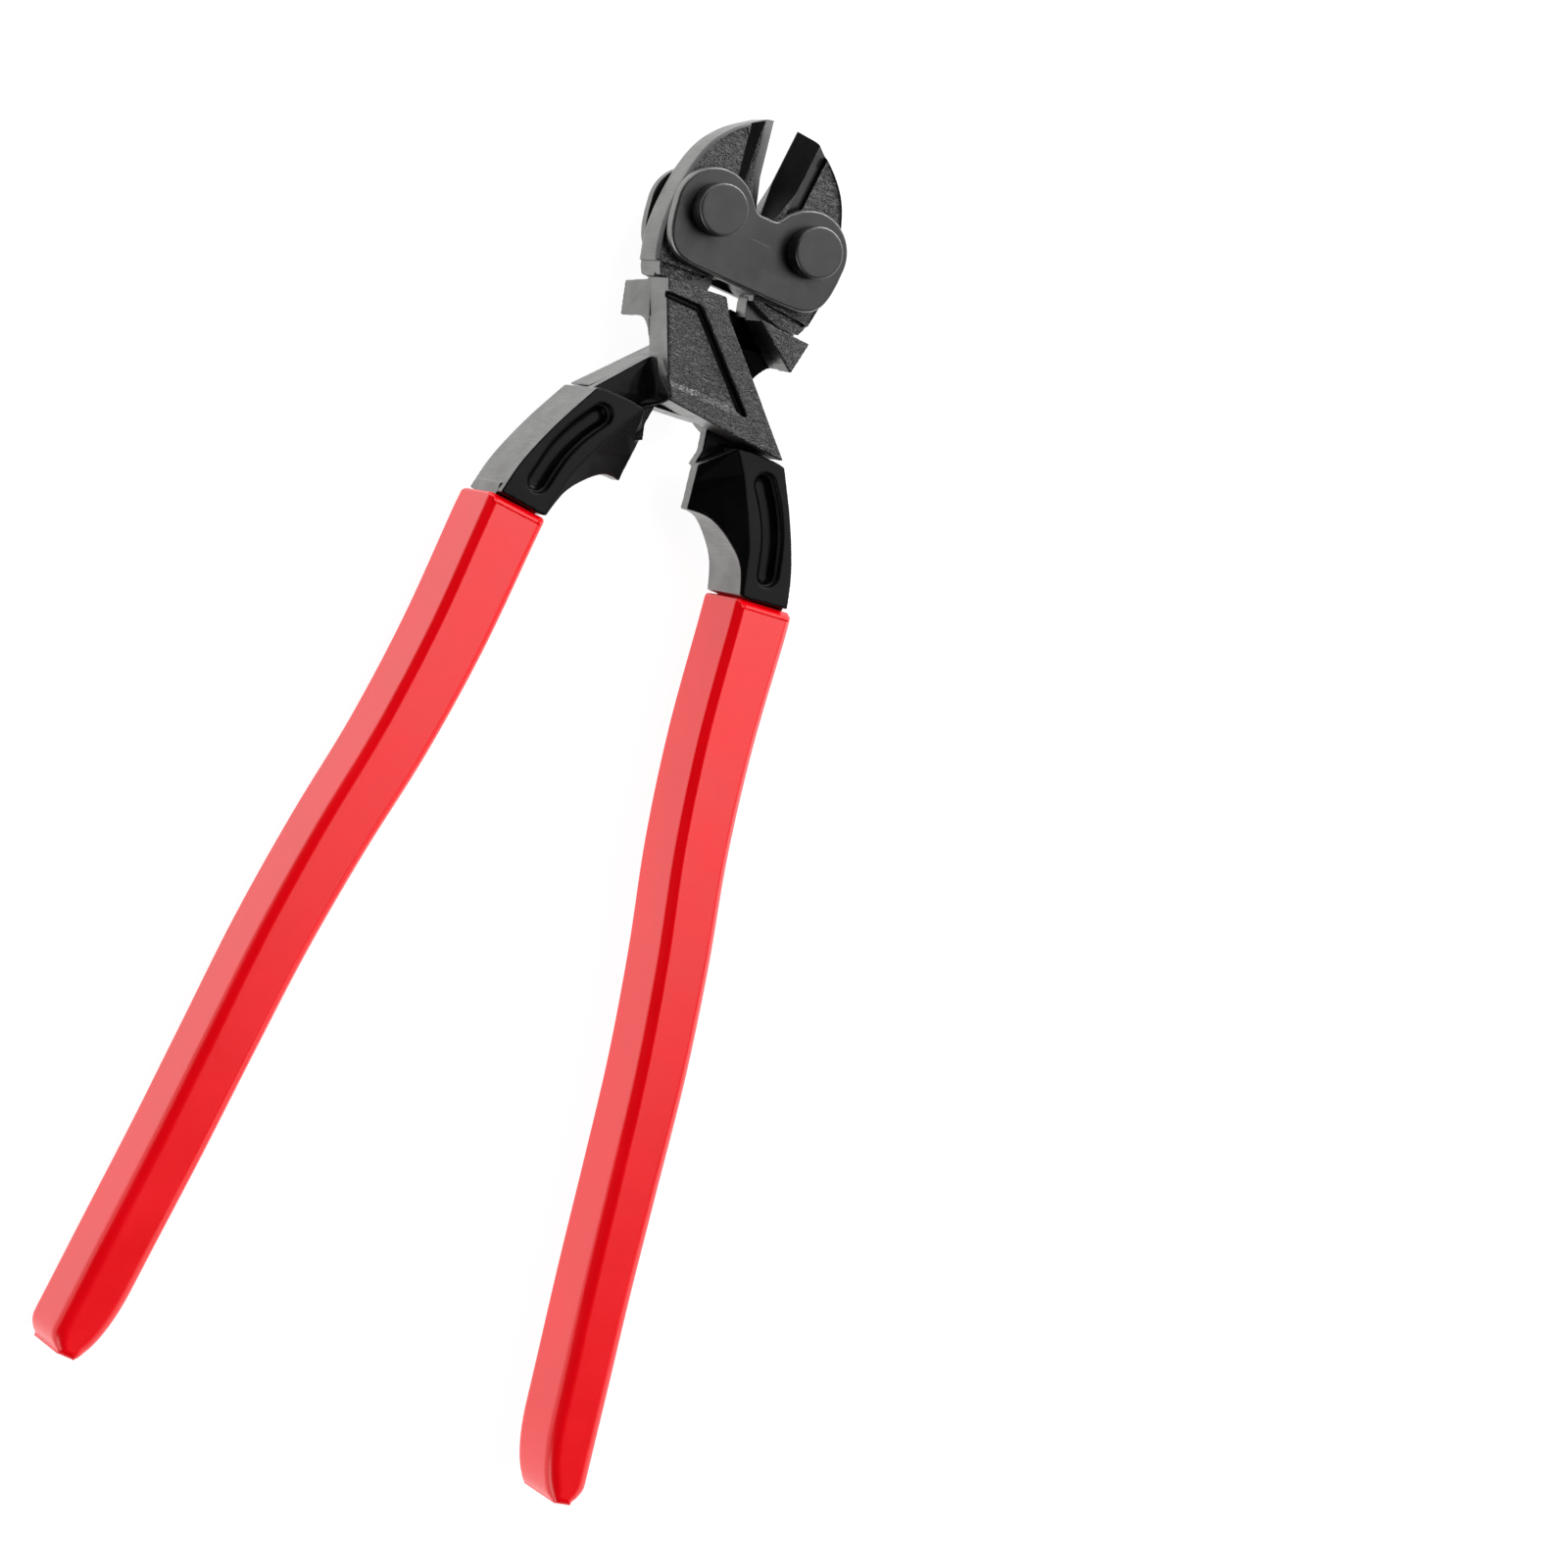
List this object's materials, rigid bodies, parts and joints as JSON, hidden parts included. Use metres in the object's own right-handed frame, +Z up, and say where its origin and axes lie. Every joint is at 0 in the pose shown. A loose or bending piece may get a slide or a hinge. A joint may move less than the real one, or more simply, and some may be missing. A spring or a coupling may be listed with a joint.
{
  "type": "bolt cutters",
  "caption": "Compact lever bolt cutters with forged black jaws, riveted link plates and bowed red dipped grips; squeezing the grips closes the jaws.",
  "frame": {"origin": "centre of the footprint, on the surface the tool lies on", "axes": "+Y along the tool toward the blade tips, +Z up through the front face, +X to the right-hand grip"},
  "size_m": [0.1066, 0.2481, 0.0218],
  "materials": {
    "forged_jaw": "blackened forged steel, grained panels, ground blade bevels",
    "forged_handle": "blackened forged steel with a coarse grain",
    "blackened_plate": "smooth satin blackened plate",
    "pin_steel": "ground",
    "red_dip": "glossy dipped vinyl"
  },
  "bodies": {
    "head": {"front_link_plate": "blackened_plate", "rear_link_plate": "blackened_plate", "left_rivet": "blackened_plate", "right_rivet": "blackened_plate"},
    "left_jaw": {"left_jaw": "forged_jaw"},
    "right_jaw": {"right_jaw": "forged_jaw"},
    "left_handle": {"left_handle": "forged_handle", "left_grip": "red_dip", "left_knuckle_pin": "pin_steel", "centre_pin": "pin_steel"},
    "right_handle": {"right_handle": "forged_handle", "right_grip": "red_dip", "right_knuckle_pin": "pin_steel"}
  },
  "joints": [
    {"name": "left_jaw_hinge", "type": "hinge", "parent": "head", "child": "left_jaw", "pos_m": [-0.01011, 0.10375, 0.0109], "axis": [0, 0, -1], "range_deg": [0, 7]},
    {"name": "right_jaw_hinge", "type": "hinge", "parent": "head", "child": "right_jaw", "pos_m": [0.01011, 0.10375, 0.0109], "axis": [0, 0, 1], "range_deg": [0, 7]},
    {"name": "left_knuckle", "type": "hinge", "parent": "left_jaw", "child": "left_handle", "pos_m": [-0.0106, 0.08655, 0.0109], "axis": [0, 0, 1], "range_deg": [0, 16.9]},
    {"name": "right_knuckle", "type": "hinge", "parent": "right_jaw", "child": "right_handle", "pos_m": [0.0106, 0.08655, 0.0109], "axis": [0, 0, -1], "range_deg": [0, 16.9]}
  ],
  "couplings": [
    {"joint": "right_jaw_hinge", "follows": "left_jaw_hinge", "ratio": 1},
    {"joint": "left_knuckle", "follows": "left_jaw_hinge", "ratio": 2.4129},
    {"joint": "right_knuckle", "follows": "left_jaw_hinge", "ratio": 2.4129}
  ]
}
